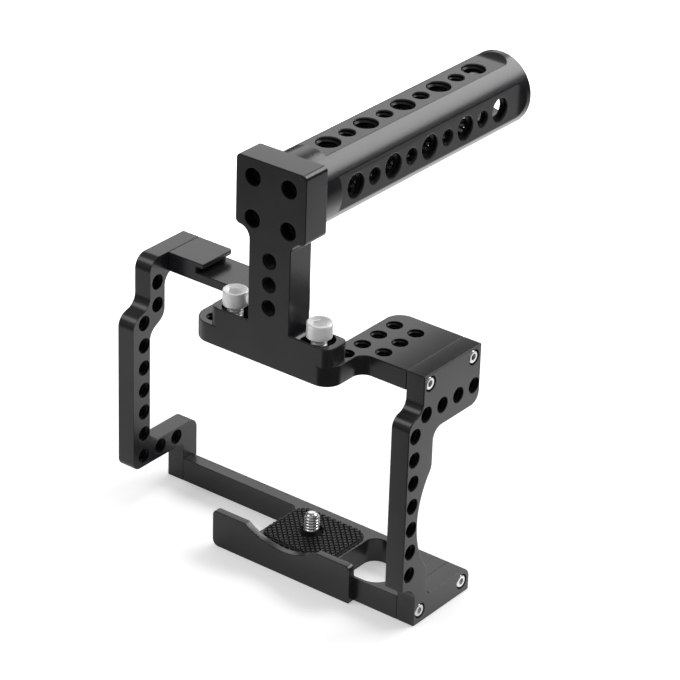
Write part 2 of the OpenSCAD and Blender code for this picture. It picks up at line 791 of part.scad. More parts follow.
// Pocket and slot for one handle screw, for side 1 on the right and -1 on the left
module foot_pocket(side) {
    floor_z = foot_top - pocket_depth;
    end_x = pocket_end - pocket_w / 2;
    slot_d = quarter_d + 2 * slot_clear;
    translate([handle_x, bracket_mid, 0]) mirror([side < 0 ? 1 : 0, 0, 0]) {
        intersection() {
            translate([0, 0, floor_z]) linear_extrude(height = pocket_depth + overrun) union() {
                translate([column_w / 2, -pocket_w / 2]) square([end_x - column_w / 2, pocket_w]);
                translate([end_x, 0]) circle(d = pocket_w);
            }
            rotate([90, 0, 0]) translate([0, 0, -pocket_w]) linear_extrude(height = 2 * pocket_w)
                outline([
                    [column_w / 2, floor_z, pocket_depth],
                    [foot_w, floor_z, 0],
                    [foot_w, foot_top + overrun, 0],
                    [column_w / 2, foot_top + overrun, 0]
                ]);
        }
        translate([0, 0, cage_h - overrun]) linear_extrude(height = foot_h + 2 * overrun) union() {
            translate([slot_inner, -slot_d / 2]) square([slot_outer - slot_inner, slot_d]);
            for (x = [slot_inner, slot_outer]) translate([x, 0]) circle(d = slot_d);
        }
    }
}

module handle_bracket() {
    half_foot = foot_w / 2;
    half_column = column_w / 2;
    half_head = head_w / 2;
    foot_plan = [
        [-half_foot, bracket_front, foot_r],
        [half_foot, bracket_front, foot_r],
        [half_foot, bracket_back, foot_r],
        [-half_foot, bracket_back, foot_r]
    ];
    front = [
        [-half_column, cage_h, 0],
        [half_column, cage_h, 0],
        [half_column, head_under, head_fillet_r],
        [half_head, head_under, head_r],
        [half_head, head_top, head_r],
        [-half_head, head_top, head_r],
        [-half_head, head_under, head_r],
        [-half_column, head_under, head_fillet_r]
    ];
    color(black_anodised) difference() {
        translate([handle_x, 0, 0]) union() {
            translate([0, 0, cage_h]) linear_extrude(height = foot_h) outline(foot_plan);
            translate([0, bracket_back, 0]) rotate([90, 0, 0]) linear_extrude(height = bracket_t)
                outline(front);
        }
        for (side = [-1, 1]) foot_pocket(side);
        for (k = [0:2])
            hole_y(handle_x, column_row_z + k * column_pitch, bracket_front, bracket_back, quarter_hole_d);
        for (i = [1:4]) at_grip_screw(i) {
            hole_y(0, 0, bracket_front, bracket_back, grip_screw_d + plain_clear);
            hole_y(0, 0, bracket_front, grip_screw_seat - overrun, grip_pocket_d);
        }
    }
}

module handle_grip() {
    holes = [for (k = [0:8]) grip_row_start + k * grip_pitch];
    color(black_anodised) translate([handle_x, bracket_back, grip_z]) rotate([-90, 0, 0]) difference() {
        union() {
            cylinder(r = grip_r, h = grip_l - grip_edge_r);
            translate([0, 0, grip_l - grip_edge_r])
                cylinder(r1 = grip_r, r2 = grip_r - grip_edge_r, h = grip_edge_r);
        }
        translate([0, 0, grip_end_t]) cylinder(r = grip_bore_r, h = grip_l);
        for (a = [0:90:270]) rotate([0, 0, a]) rotate([90, 0, 0])
            translate([flat_r, 0, -grip_r]) linear_extrude(height = 2 * grip_r) union() {
                translate([0, flat_start]) square([flat_end_r, flat_end - flat_start]);
                translate([flat_end_r, flat_end]) circle(r = flat_end_r);
            }
        for (k = [0:8]) for (a = [0, 90]) rotate([0, 0, a]) translate([-grip_r - overrun, 0, holes[k]])
            rotate([0, 90, 0])
                cylinder(d = k % 2 == 0 ? three_eighths_hole_d : quarter_hole_d,
                    h = 2 * (grip_r + overrun));
        for (a = [45:90:315]) rotate([0, 0, a])
            translate([grip_screw_offset * sqrt(2), 0, -overrun])
                cylinder(d = grip_tap_d, h = overrun + grip_tap_depth());
    }
}

// Depth of the tapped holes for the grip screws in the grip's closed end
function grip_tap_depth() = grip_screw_seat + grip_shank_l - bracket_back + tap_spare;

module grip_screw(i) {
    color(black_steel) at_grip_screw(i) translate([0, grip_screw_seat, 0]) rotate([90, 0, 0])
        cap_screw(grip_head_d, grip_head_h, grip_screw_d, grip_shank_l, grip_socket_w, grip_socket_h);
}

// Handle screw in hole k of the front row, raised as far as it stands in use before it is tightened
module handle_screw(k) {
    color(steel) translate([front_row_x + k * hole_pitch, front_row_y, handle_screw_seat])
        cap_screw(handle_head_d, handle_head_h, quarter_d, handle_shank_l, handle_socket_w,
            handle_socket_h);
}

module right_frame_screw(y, z) {
    on_right(y, z, cage_w - frame_pocket) frame_screw();
}

module left_frame_screw(y, z) {
    on_left(y, z, frame_pocket) frame_screw();
}

// Moves the part from the ground corner to the camera screw's axis at the seating face
module placed() {
    translate([-screw_x, -screw_y, -seat_z]) children();
}

placed() top_plate();
placed() left_side_plate();
placed() right_side_plate();
placed() bottom_plate();
placed() anti_slip_pad();
placed() camera_screw();
placed() camera_screw_clip();
placed() handle_bracket();
placed() handle_grip();
placed() grip_screw(1);  // grip_screw_1
placed() grip_screw(2);  // grip_screw_2
placed() grip_screw(3);  // grip_screw_3
placed() grip_screw(4);  // grip_screw_4
placed() handle_screw(1);  // handle_screw_left
placed() handle_screw(5);  // handle_screw_right
placed() right_frame_screw(right_screw_front, top_screw_z);  // right_top_front_screw
placed() right_frame_screw(right_screw_back, top_screw_z);  // right_top_rear_screw
placed() right_frame_screw(right_screw_front, base_screw_z);  // right_bottom_front_screw
placed() right_frame_screw(right_screw_back, base_screw_z);  // right_bottom_rear_screw
placed() left_frame_screw(left_screw_front, top_screw_z);  // left_top_front_screw
placed() left_frame_screw(left_screw_back, top_screw_z);  // left_top_rear_screw
placed() left_frame_screw(left_screw_back, base_screw_z);  // left_bottom_screw
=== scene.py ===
"""Looks of the camera cage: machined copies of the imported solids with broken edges, threads in
the tapped holes and on the screws, a knurled pad, and satin anodised, steel and rubber finishes."""

import math
import bmesh
import bpy
from mathutils import Matrix, Vector
from mathutils.geometry import delaunay_2d_cdt


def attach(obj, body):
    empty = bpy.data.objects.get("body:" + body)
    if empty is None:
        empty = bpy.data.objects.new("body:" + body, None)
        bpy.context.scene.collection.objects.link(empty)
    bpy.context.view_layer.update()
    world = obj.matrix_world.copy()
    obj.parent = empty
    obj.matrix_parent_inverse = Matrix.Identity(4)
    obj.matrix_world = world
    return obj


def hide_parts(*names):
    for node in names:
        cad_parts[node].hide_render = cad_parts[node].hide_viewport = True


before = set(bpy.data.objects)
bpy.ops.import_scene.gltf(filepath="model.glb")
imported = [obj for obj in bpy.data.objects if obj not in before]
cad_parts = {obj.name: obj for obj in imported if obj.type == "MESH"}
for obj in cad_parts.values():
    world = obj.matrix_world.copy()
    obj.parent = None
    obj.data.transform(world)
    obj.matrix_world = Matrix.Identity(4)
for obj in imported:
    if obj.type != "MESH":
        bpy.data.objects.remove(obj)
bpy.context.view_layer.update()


# Places are written in millimetres from the front left corner of the cage on the ground, as the
# solids were drawn. ORIGIN is the camera screw's seat there, where the frame has its origin.
ORIGIN = Vector((86.6, 15.5, 12.0))
MM = 0.001

PITCH = 10.25
QUARTER_R = 3.25
QUARTER_MINOR_R = 2.62
QUARTER_THREAD = 1.27
THREE_EIGHTHS_R = 4.8375
THREE_EIGHTHS_MINOR_R = 3.9
THREE_EIGHTHS_THREAD = 1.5875
X_AXIS = Vector((1, 0, 0))
Y_AXIS = Vector((0, 1, 0))
Z_AXIS = Vector((0, 0, 1))


def place(x, y, z):
    """The point of the frame, in metres, of a place in millimetres."""
    return (Vector((x, y, z)) - ORIGIN) * MM


def add_object(name, bm, material):
    mesh = bpy.data.meshes.new(name)
    bm.to_mesh(mesh)
    bm.free()
    mesh.materials.append(material)
    obj = bpy.data.objects.new(name, mesh)
    bpy.context.scene.collection.objects.link(obj)
    return obj


# Materials

RAMP_SPAN = (0.35, 0.65)


def new_material(name):
    material = bpy.data.materials.new(name)
    material.use_nodes = True
    nodes = material.node_tree.nodes
    return material, nodes, material.node_tree.links, nodes["Principled BSDF"]


def noise_node(nodes, links, scale, detail):
    coordinates = nodes.new("ShaderNodeTexCoord")
    noise = nodes.new("ShaderNodeTexNoise")
    noise.inputs["Scale"].default_value = scale
    noise.inputs["Detail"].default_value = detail
    links.new(coordinates.outputs["Object"], noise.inputs["Vector"])
    return noise


def ramp_node(nodes, links, source, low, high):
    ramp = nodes.new("ShaderNodeValToRGB")
    for element, position, colour in zip(ramp.color_ramp.elements, RAMP_SPAN, (low, high)):
        element.position = position
        element.color = (*colour, 1)
    links.new(source, ramp.inputs["Fac"])
    return ramp


def range_node(nodes, links, source, low, high):
    spread = nodes.new("ShaderNodeMapRange")
    spread.inputs["To Min"].default_value = low
    spread.inputs["To Max"].default_value = high
    links.new(source, spread.inputs["Value"])
    return spread


def bump_node(nodes, links, source, distance, strength):
    bump = nodes.new("ShaderNodeBump")
    bump.inputs["Strength"].default_value = strength
    bump.inputs["Distance"].default_value = distance
    links.new(source, bump.inputs["Height"])
    return bump


CLOUD_DETAIL = 2


def grained(name, grain_scale, grain_detail, cloud_scale, colours, roughness, relief, bump_strength):
    """A finish with a fine grain in its gloss and relief, and faint clouding in its colour."""
    material, nodes, links, shader = new_material(name)
    grain = noise_node(nodes, links, grain_scale, grain_detail)
    cloud = noise_node(nodes, links, cloud_scale, CLOUD_DETAIL)
    colour = ramp_node(nodes, links, cloud.outputs["Fac"], *colours)
    rough = range_node(nodes, links, grain.outputs["Fac"], *roughness)
    bump = bump_node(nodes, links, grain.outputs["Fac"], relief, bump_strength)
    links.new(colour.outputs["Color"], shader.inputs["Base Color"])
    links.new(rough.outputs["Result"], shader.inputs["Roughness"])
    links.new(bump.outputs["Normal"], shader.inputs["Normal"])
    return material, shader


def anodised():
    """Bead-blasted aluminium, anodised black: satin, with a fine grain and faint clouding."""
    material, shader = grained("black_anodised_finish", grain_scale=2600, grain_detail=3, cloud_scale=60,
                               colours=((0.012, 0.012, 0.0135), (0.017, 0.017, 0.019)),
                               roughness=(0.2, 0.3), relief=0.000015, bump_strength=0.5)
    shader.inputs["IOR"].default_value = 1.5
    return material


def steel(name, colours, roughness, metallic=1.0, specular=0.5):
    """Turned steel with fine machining marks, bare or under a plating or a blackening."""
    material, shader = grained(name, grain_scale=1800, grain_detail=3, cloud_scale=220, colours=colours,
                               roughness=roughness, relief=0.00001, bump_strength=0.4)
    shader.inputs["Metallic"].default_value = metallic
    shader.inputs["Specular IOR Level"].default_value = specular
    return material


def rubber():
    """Moulded black rubber, matt with a slight bloom."""
    material, _ = grained("rubber_finish", grain_scale=3200, grain_detail=2, cloud_scale=120,
                          colours=((0.009, 0.009, 0.009), (0.015, 0.015, 0.0155)),
                          roughness=(0.42, 0.58), relief=0.00003, bump_strength=0.6)
    return material


def painted_shade_thread_finish():
    """The anodising inside the tapped holes, coloured darker than outside as painted shade, where little
    light reaches.
    """
    material, nodes, links, shader = new_material("anodised_thread_finish")
    cloud = noise_node(nodes, links, scale=300, detail=CLOUD_DETAIL)
    colour = ramp_node(nodes, links, cloud.outputs["Fac"],
                       low=(0.004, 0.004, 0.0045), high=(0.007, 0.007, 0.008))
    links.new(colour.outputs["Color"], shader.inputs["Base Color"])
    shader.inputs["Roughness"].default_value = 0.3
    shader.inputs["IOR"].default_value = 1.22
    return material


ANODISED = anodised()
# Painted shade: the threads and bore walls get a colour darker than the anodising outside.
THREAD = painted_shade_thread_finish()
STAINLESS = steel("stainless_steel_finish", colours=((0.62, 0.62, 0.625), (0.72, 0.72, 0.725)),
                  roughness=(0.16, 0.26))
NICKEL = steel("nickel_plated_finish", colours=((0.93, 0.93, 0.93), (0.98, 0.98, 0.98)),
               roughness=(0.3, 0.4), metallic=0.35)
# Black oxide, coloured darker still as painted shade for the counterbores where the grip screws sit.
BLACK_STEEL_AND_SHADE = steel("black_steel_and_painted_shade", colours=((0.006, 0.006, 0.007), (0.011, 0.011, 0.012)),
                    roughness=(0.3, 0.42), metallic=0.0)
# Black oxide, coloured darker still as painted shade for the pad's hole where the clip sits.
CLIP_STEEL_AND_SHADE = steel("blackened_clip_and_painted_shade", colours=((0.003, 0.003, 0.0035), (0.006, 0.006, 0.0065)),
                   roughness=(0.8, 0.9), metallic=0.0, specular=0.15)
RUBBER = rubber()
FINISH = {"black_anodised": ANODISED, "stainless_steel": STAINLESS,
          "black_steel": BLACK_STEEL_AND_SHADE, "rubber": RUBBER}

# Machined copies

SHARP = math.radians(20)
SCREW_SHARP = math.radians(30)
CREASE = math.radians(35)
FLATNESS = math.radians(0.3)
WELD = 0.02
SMALLEST_FACE = 1e-9
SAME_DIRECTION = 0.99999
SAME_HEIGHT = 0.002
WHOLE_HULL = 0
SAME_POINT = 1e-6
MOUTH_MAX_R = 8
MOUTH_ROUNDNESS = 0.02
# The layer and value by which flat faces keep their own direction right up to a rounded edge
STRENGTH_LAYER = "__mod_weightednormals_faceweight"
STRONG = 16384


def welded(node):
    """The node's mesh as drawn, with its vertices joined and its flat faces made whole."""
    bm = bmesh.new()
    bm.from_mesh(bpy.data.objects[node].data)
    bmesh.ops.remove_doubles(bm, verts=bm.verts, dist=WELD * MM)
    bmesh.ops.dissolve_limit(bm, angle_limit=FLATNESS, verts=bm.verts, edges=bm.edges)
    return bm


def chains(edges):
    """The edges in groups that hang together."""
    left = set(edges)
    while left:
        first = left.pop()
        chain, stack = [first], [first]
        while stack:
            for vert in stack.pop().verts:
                for edge in vert.link_edges:
                    if edge in left:
                        left.discard(edge)
                        chain.append(edge)
                        stack.append(edge)
        yield chain


def is_mouth(chain):
    """Whether a group of edges is the round mouth of a small hole."""
    verts = {v for e in chain for v in e.verts}
    centre = sum((v.co for v in verts), Vector()) / len(verts)
    radii = [(v.co - centre).length for v in verts]
    return (len(verts) == len(chain) and max(radii) < MOUTH_MAX_R * MM
            and max(radii) - min(radii) < MOUTH_ROUNDNESS * MM)


def flat_regions(bm):
    """Groups of adjoining faces that lie in one plane."""
    left = set(bm.faces)
    for first in sorted(bm.faces, key=lambda f: -f.calc_area()):
        if first not in left:
            continue
        if first.calc_area() < SMALLEST_FACE:
            return
        normal = first.normal.copy()
        height = normal.dot(first.calc_center_median())
        region, stack = {first}, [first]
        left.discard(first)
        while stack:
            for edge in stack.pop().edges:
                for face in edge.link_faces:
                    if (face in left and face.normal.dot(normal) > SAME_DIRECTION
                            and abs(normal.dot(face.calc_center_median()) - height) < SAME_HEIGHT * MM):
                        left.discard(face)
                        region.add(face)
                        stack.append(face)
        if len(region) > 1 or len(first.verts) > 4:
            yield normal, region


def encloses(rim, x, y):
    """Whether a point lies inside a set of rims, each hole counted as outside."""
    inside = False
    for (ax, ay), (bx, by) in rim:
        if (ay > y) != (by > y) and x < ax + (y - ay) * (bx - ax) / (by - ay):
            inside = not inside
    return inside


def refill(bm):
    """Cut each flat face anew into triangles between its rims, so that none folds over."""
    bm.normal_update()
    strength = bm.faces.layers.int.new(STRENGTH_LAYER)
    for normal, region in list(flat_regions(bm)):
        edges = {e for f in region for e in f.edges}
        rim = [e for e in edges if sum(f in region for f in e.link_faces) == 1]
        inner = [e for e in edges if sum(f in region for f in e.link_faces) > 1]
        verts = list({v for e in rim for v in e.verts})
        number = {v: i for i, v in enumerate(verts)}
        turn = normal.to_track_quat("Z", "Y").inverted()
        flat = [(turn @ v.co).xy / MM for v in verts]
        pairs = [(number[e.verts[0]], number[e.verts[1]]) for e in rim]
        points, _, triangles, sources, _, _ = delaunay_2d_cdt(flat, pairs, [], WHOLE_HULL, SAME_POINT)
        if len(points) != len(verts):
            for face in region:
                face[strength] = STRONG
            continue
        material = next(iter(region)).material_index
        bmesh.ops.delete(bm, geom=list(region), context="FACES_ONLY")
        bmesh.ops.delete(bm, geom=[e for e in inner if e.is_valid], context="EDGES")
        segments = [(tuple(flat[a]), tuple(flat[b])) for a, b in pairs]
        for corners in triangles:
            middle = sum((points[i] for i in corners), Vector((0, 0))) / len(corners)
            ring = [verts[sources[i][0]] for i in corners]
            if encloses(segments, *middle) and bm.faces.get(ring) is None:
                face = bm.faces.new(ring)
                face.material_index = material
                face[strength] = STRONG
    bmesh.ops.recalc_face_normals(bm, faces=bm.faces)


def soften(bm, edges, width):
    """Round a set of edges by a small width in two steps."""
    if edges:
        bmesh.ops.bevel(bm, geom=edges, offset=width * MM, offset_type="OFFSET", segments=2,
                        profile=0.5, affect="EDGES", clamp_overlap=False, loop_slide=False)


def shade(bm):
    """Smooth shading that keeps true corners."""
    for face in bm.faces:
        face.smooth = True
    for edge in bm.edges:
        edge.smooth = not (edge.is_manifold and edge.calc_face_angle(0) > CREASE)


def even_normals(obj):
    weighted = obj.modifiers.new("even normals", "WEIGHTED_NORMAL")
    weighted.keep_sharp = True
    weighted.use_face_influence = True
    weighted.weight = 100


def machined(node, body, slot, edge_width, mouth_width, angle=SHARP, cuts=(), left_sharp=None):
    """A copy of a node whose outer edges and hole mouths are broken by a small rounding."""
    bm = welded(node)
    for x in cuts:
        bmesh.ops.bisect_plane(bm, geom=bm.verts[:] + bm.edges[:] + bm.faces[:],
                               plane_co=(x, 0, 0), plane_no=(1, 0, 0))
    outer = [e for e in bm.edges if e.is_manifold and e.calc_face_angle_signed(0) > angle
             and not (left_sharp and left_sharp(e))]
    groups = [(chain, is_mouth(chain)) for chain in chains(outer)]
    soften(bm, [e for chain, mouth in groups if mouth for e in chain], mouth_width)
    soften(bm, [e for chain, mouth in groups if not mouth for e in chain if e.is_valid], edge_width)
    refill(bm)
    shade(bm)
    obj = add_object(node + "_finished", bm, FINISH[slot])
    even_normals(obj)
    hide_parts(node)
    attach(obj, body)
    return obj


GRIP_X = 89.9
GRIP_Z = 171.4
FOOT_X = (64.15, 115.65)
FOOT_BACK = -19.6
BORE_REACH = 13
TOP_FACE = place(0, 0, 111.2).z
ON_FACE = 0.01


def inside_grip(edge):
    """Whether an edge lies on the grip's bore, which is left as bored."""
    axis = place(GRIP_X, 0, GRIP_Z)
    return min(math.hypot(v.co.x - axis.x, v.co.z - axis.z) for v in edge.verts) < BORE_REACH * MM


def on_top_face(edge):
    """Whether an edge lies in the plane where the handle's foot meets the top plate."""
    return all(abs(v.co.z - TOP_FACE) < ON_FACE * MM for v in edge.verts)


def under_foot(edge):
    """Whether an edge of the top plate is covered by the handle's foot."""
    middle = (edge.verts[0].co + edge.verts[1].co) / 2
    low, high = (place(x, 0, 0).x for x in FOOT_X)
    return on_top_face(edge) and low < middle.x < high and middle.y < place(0, FOOT_BACK, 0).y


# Widths of the rounding at outer edges and at hole mouths
PLATE_EDGE = 0.45
BLOCK_EDGE = 0.4
PLATE_MOUTH = 0.3
# A web of half a millimetre between a hole and the edge leaves no room for more
LEFT_EDGE = 0.22
GRIP_EDGE = 0.3
GRIP_MOUTH = 0.75
SCREW_EDGE = 0.1

machined("top_plate", "cage", "black_anodised", PLATE_EDGE, PLATE_MOUTH,
         cuts=[place(x, 0, 0).x for x in FOOT_X], left_sharp=under_foot)
machined("left_side_plate", "cage", "black_anodised", LEFT_EDGE, LEFT_EDGE)
machined("right_side_plate", "cage", "black_anodised", PLATE_EDGE, PLATE_MOUTH)
machined("bottom_plate", "cage", "black_anodised", BLOCK_EDGE, PLATE_MOUTH)
machined("handle_bracket", "handle", "black_anodised", BLOCK_EDGE, PLATE_MOUTH, left_sharp=on_top_face)
machined("handle_grip", "handle", "black_anodised", GRIP_EDGE, GRIP_MOUTH, left_sharp=inside_grip)
for screw in ["right_top_front_screw", "right_top_rear_screw", "right_bottom_front_screw",
              "right_bottom_rear_screw", "left_top_front_screw", "left_top_rear_screw",
              "left_bottom_screw"]:
    machined(screw, "cage", "stainless_steel", SCREW_EDGE, SCREW_EDGE, SCREW_SHARP)
for number in range(1, 5):
    machined("grip_screw_%d" % number, "handle", "black_steel", SCREW_EDGE, SCREW_EDGE, SCREW_SHARP)

# The clip in the pad's hole is partly painted shade: its black oxide is coloured darker still.
bpy.data.objects["camera_screw_clip"].material_slots[0].material = CLIP_STEEL_AND_SHADE

# Tapped holes

THREAD_STEPS = 36
WALL_SKIN = 0.03
RIDGE_SINK = 0.02
RIDGE_LEAST = 0.02
FADE_TURNS = 0.4
FLANK_SHARE = 0.44
FLAT_SHARE = 0.07
THREAD_CREASE = math.radians(30)


def add_thread(bm, start, axis, length, wall_r, crest_r, pitch):
    """One helical ridge on the wall of a bore or a shank, its ends let down to the wall."""
    foot_r = wall_r + math.copysign(RIDGE_SINK, wall_r - crest_r)
    side = axis.orthogonal().normalized()
    up = axis.cross(side)
    turns = length / pitch
    count = int(turns * THREAD_STEPS)
    rows = []
    for i in range(count + 1):
        angle = 2 * math.pi * i / THREAD_STEPS
        along = length * i / count
        fade = min(1.0, i / (THREAD_STEPS * FADE_TURNS), (count - i) / (THREAD_STEPS * FADE_TURNS))
        crest = wall_r + (crest_r - wall_r) * max(RIDGE_LEAST, fade)
        spoke = side * math.cos(angle) + up * math.sin(angle)
        row = []
        for radius, shift in ((foot_r, -FLANK_SHARE), (crest, -FLAT_SHARE),
                              (crest, FLAT_SHARE), (foot_r, FLANK_SHARE)):
            lift = min(max(along + shift * pitch, 0.0), length)
            row.append(bm.verts.new(start + (axis * lift + spoke * radius) * MM))
        rows.append(row)
    for low, high in zip(rows, rows[1:]):
        for a in range(len(low) - 1):
            bm.faces.new((low[a], low[a + 1], high[a + 1], high[a]))


def add_painted_shade_sleeve(bm, start, axis, length, radius):
    """A bare sleeve a hair inside a bore's own wall, which carries the painted shade of the hole's
    inside.
    """
    side = axis.orthogonal().normalized()
    up = axis.cross(side)
    spokes = []
    for i in range(THREAD_STEPS):
        angle = 2 * math.pi * i / THREAD_STEPS
        spokes.append((side * math.cos(angle) + up * math.sin(angle)) * (radius - WALL_SKIN) * MM)
    low = [bm.verts.new(start + spoke) for spoke in spokes]
    high = [bm.verts.new(start + axis * length * MM + spoke) for spoke in spokes]
    for i in range(THREAD_STEPS):
        n = (i + 1) % THREAD_STEPS
        bm.faces.new((low[i], low[n], high[n], high[i]))


def tapped(name, body, holes, plain=()):
    """All threads of one body's plate, and sleeves in its plain bores, as one piece, coloured darker
    than the anodising outside: painted shade.
    """
    bm = bmesh.new()
    for spot, axis, length, wall_r, crest_r, pitch in holes:
        add_painted_shade_sleeve(bm, spot, axis, length, wall_r)
        add_thread(bm, spot, axis, length, wall_r, crest_r, pitch)
    for spot, axis, length, wall_r in plain:
        add_painted_shade_sleeve(bm, spot, axis, length, wall_r)
    bmesh.ops.recalc_face_normals(bm, faces=bm.faces)
    for face in bm.faces:
        face.smooth = True
    for edge in bm.edges:
        edge.smooth = not (edge.is_manifold and edge.calc_face_angle(0) > THREAD_CREASE)
    obj = add_object(name, bm, THREAD)
    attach(obj, body)


LEAD_IN = 0.5


def quarter(x, y, z, axis, thickness):
    """A quarter inch tapped hole from a face at (x, y, z) through a thickness."""
    return (place(x, y, z) + axis * LEAD_IN * MM, axis, thickness - 2 * LEAD_IN,
            QUARTER_R, QUARTER_MINOR_R, QUARTER_THREAD)


TOP_UNDER = 102.7
TOP_T = 8.5
LEFT_T = 8.2
RIGHT_FACE = 141.5
RIGHT_T = 8.5
HEAD_FRONT = -19.7
COLUMN_T = 12.8
GRIP_SCREW_OFFSET = 8.6
POCKET_DEPTH = 8
POCKET_R = 3.65

# The first hole of each row; the rest follow at the pitch
HANDLE_ROW = (58.5, -13.4)
TOP_ROW = (115.75, -4.15)
TOP_OUTER_ROW = (126.0, 6.1)
LEFT_ROW = (3.1, 22.9)
LEFT_ARM_ROW = (11.25, 100.1)
RIGHT_ROW = (-4.45, 26)
RIGHT_ARM_ROW = (2.2, 94.3)
COLUMN_ROW_Z = 127.9
COLUMN_PITCH = 9.85


def top_holes():
    """Holes down through the top plate: each row steps across or back."""
    holes = []
    for (x, y), across, back, steps in ((HANDLE_ROW, PITCH, 0, (0, 2, 3, 4)),
                                        (TOP_ROW, 0, PITCH, range(4)),
                                        (TOP_OUTER_ROW, 0, PITCH, range(3))):
        holes += [quarter(x + across * k, y + back * k, TOP_UNDER, Z_AXIS, TOP_T) for k in steps]
    return holes


def side_holes(face, thickness, rows):
    """Holes through a side plate, in rows that start at (y, z) and step back or up."""
    holes = []
    for (y, z), back, up, steps in rows:
        holes += [quarter(face, y + back * k, z + up * k, X_AXIS, thickness) for k in steps]
    return holes


def grip_screw_pockets():
    """The four counterbores in the handle's head, from just inside their mouths."""
    reach = GRIP_SCREW_OFFSET
    return [(place(GRIP_X + across * reach, HEAD_FRONT + LEAD_IN, GRIP_Z + up * reach),
             Y_AXIS, POCKET_DEPTH - LEAD_IN, POCKET_R) for across in (-1, 1) for up in (-1, 1)]


tapped("top_plate_threads", "cage", top_holes())
tapped("left_side_plate_threads", "cage", side_holes(0, LEFT_T, (
    (LEFT_ROW, 0, PITCH, range(7)), (LEFT_ROW, PITCH, 0, (1, 2)), (LEFT_ARM_ROW, 0, -PITCH, (0, 1)))))
tapped("right_side_plate_threads", "cage", side_holes(RIGHT_FACE, RIGHT_T, (
    (RIGHT_ROW, 0, PITCH, range(7)), (RIGHT_ARM_ROW, PITCH, 0, range(4)))))
# The counterbores get bare sleeves whose dark colour is painted shade.
tapped("bracket_threads", "handle", [
    quarter(GRIP_X, HEAD_FRONT, COLUMN_ROW_Z + COLUMN_PITCH * k, Y_AXIS, COLUMN_T) for k in range(3)],
    grip_screw_pockets())

FLAT_R = 13.85
BORE_R = 10.75
GRIP_LEAD_IN = 0.6
GRIP_ROW_Y = 14.6
GRIP_PITCH = 11.8
GRIP_ROW_COUNT = 9


def grip_holes():
    """Threads in the grip's wall, on all four sides, in two sizes by turns."""
    holes = []
    for k in range(GRIP_ROW_COUNT):
        outer_r, inner_r, pitch = ((THREE_EIGHTHS_R, THREE_EIGHTHS_MINOR_R, THREE_EIGHTHS_THREAD)
                                   if k % 2 == 0 else (QUARTER_R, QUARTER_MINOR_R, QUARTER_THREAD))
        # The thread ends midway down the saddle that the bore cuts from its wall
        inner_end = (BORE_R + math.sqrt(BORE_R ** 2 - outer_r ** 2)) / 2
        for axis in (X_AXIS, -X_AXIS, Z_AXIS, -Z_AXIS):
            centre = place(GRIP_X, GRIP_ROW_Y + GRIP_PITCH * k, GRIP_Z)
            length = FLAT_R - inner_end - GRIP_LEAD_IN
            holes.append((centre + axis * inner_end * MM, axis, length, outer_r, inner_r, pitch))
    return holes


tapped("grip_threads", "handle", grip_holes())

# Turned screws

SHANK_CREST_R = 3.175
SHANK_ROOT_R = 2.5
TURN_STEPS = 72


def hexagon(width):
    """The radius of a hexagon's rim, by the angle, from its width across the flats."""
    return lambda angle: width / 2 / math.cos(angle % math.radians(60) - math.radians(30))


def add_turned(bm, x, y, profile):
    """Rings round a vertical axis, from (radius, height) pairs; a radius may follow the angle."""
    below = None
    for radius, z in profile:
        if radius == 0:
            ring = [bm.verts.new(place(x, y, z))]
        else:
            ring = []
            for i in range(TURN_STEPS):
                angle = 2 * math.pi * i / TURN_STEPS
                r = radius(angle) if callable(radius) else radius
                ring.append(bm.verts.new(place(x + r * math.cos(angle), y + r * math.sin(angle), z)))
        if below:
            for i in range(TURN_STEPS):
                corners = [below[i % len(below)], below[(i + 1) % len(below)],
                           ring[(i + 1) % len(ring)], ring[i % len(ring)]]
                bm.faces.new(list(dict.fromkeys(corners)))
        below = ring


def turned(name, node, body, x, y, profile, thread, material):
    """A screw turned to a profile, with its thread."""
    bm = bmesh.new()
    add_turned(bm, x, y, profile)
    bmesh.ops.recalc_face_normals(bm, faces=bm.faces)
    low, high = thread
    add_thread(bm, place(x, y, low), Z_AXIS, high - low, SHANK_ROOT_R, SHANK_CREST_R, QUARTER_THREAD)
    shade(bm)
    obj = add_object(name, bm, material)
    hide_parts(node)
    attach(obj, body)
    return obj


HEAD_SEAT = 120.2
HEAD_R = 5.1
HANDLE_SHANK_L = 15
TIP_R = 2.1
TIP_CHAMFER = 0.5
UNDERCUT = 0.4
THREAD_CLEAR = 0.6
# Radius and height over the seat at each corner of a handle screw's head, from shank to socket
HEAD_PROFILE = (
    (2.9, 0), (4.75, 0), (HEAD_R, 0.3), (HEAD_R, 5.45), (4.98, 5.6), (4.98, 5.72), (HEAD_R, 5.84),
    (5.04, 6.1), (4.88, 6.24), (4.65, 6.3), (4.3, 6.22), (3.35, 5.75), (hexagon(5.5), 5.7),
    (hexagon(5), 5.5), (hexagon(5), 3.1), (0, 2.4))

# Radius and height at each corner of the camera screw, from its flange up to its domed tip
CAMERA_SCREW_PROFILE = (
    (0, 0.8), (6.8, 0.8), (7.0, 1.0), (7.0, 4.0), (6.8, 4.2), (3.0, 4.2), (2.45, 4.4), (2.45, 12.2),
    (SHANK_ROOT_R, 12.4), (SHANK_ROOT_R, 18.6), (2.75, 18.8), (2.78, 19.1), (2.62, 19.5), (2.3, 19.9),
    (1.9, 20.25), (1.4, 20.45), (0.9, 20.5), (0, 20.5))
CAMERA_SCREW_THREAD = (12.3, 19.2)

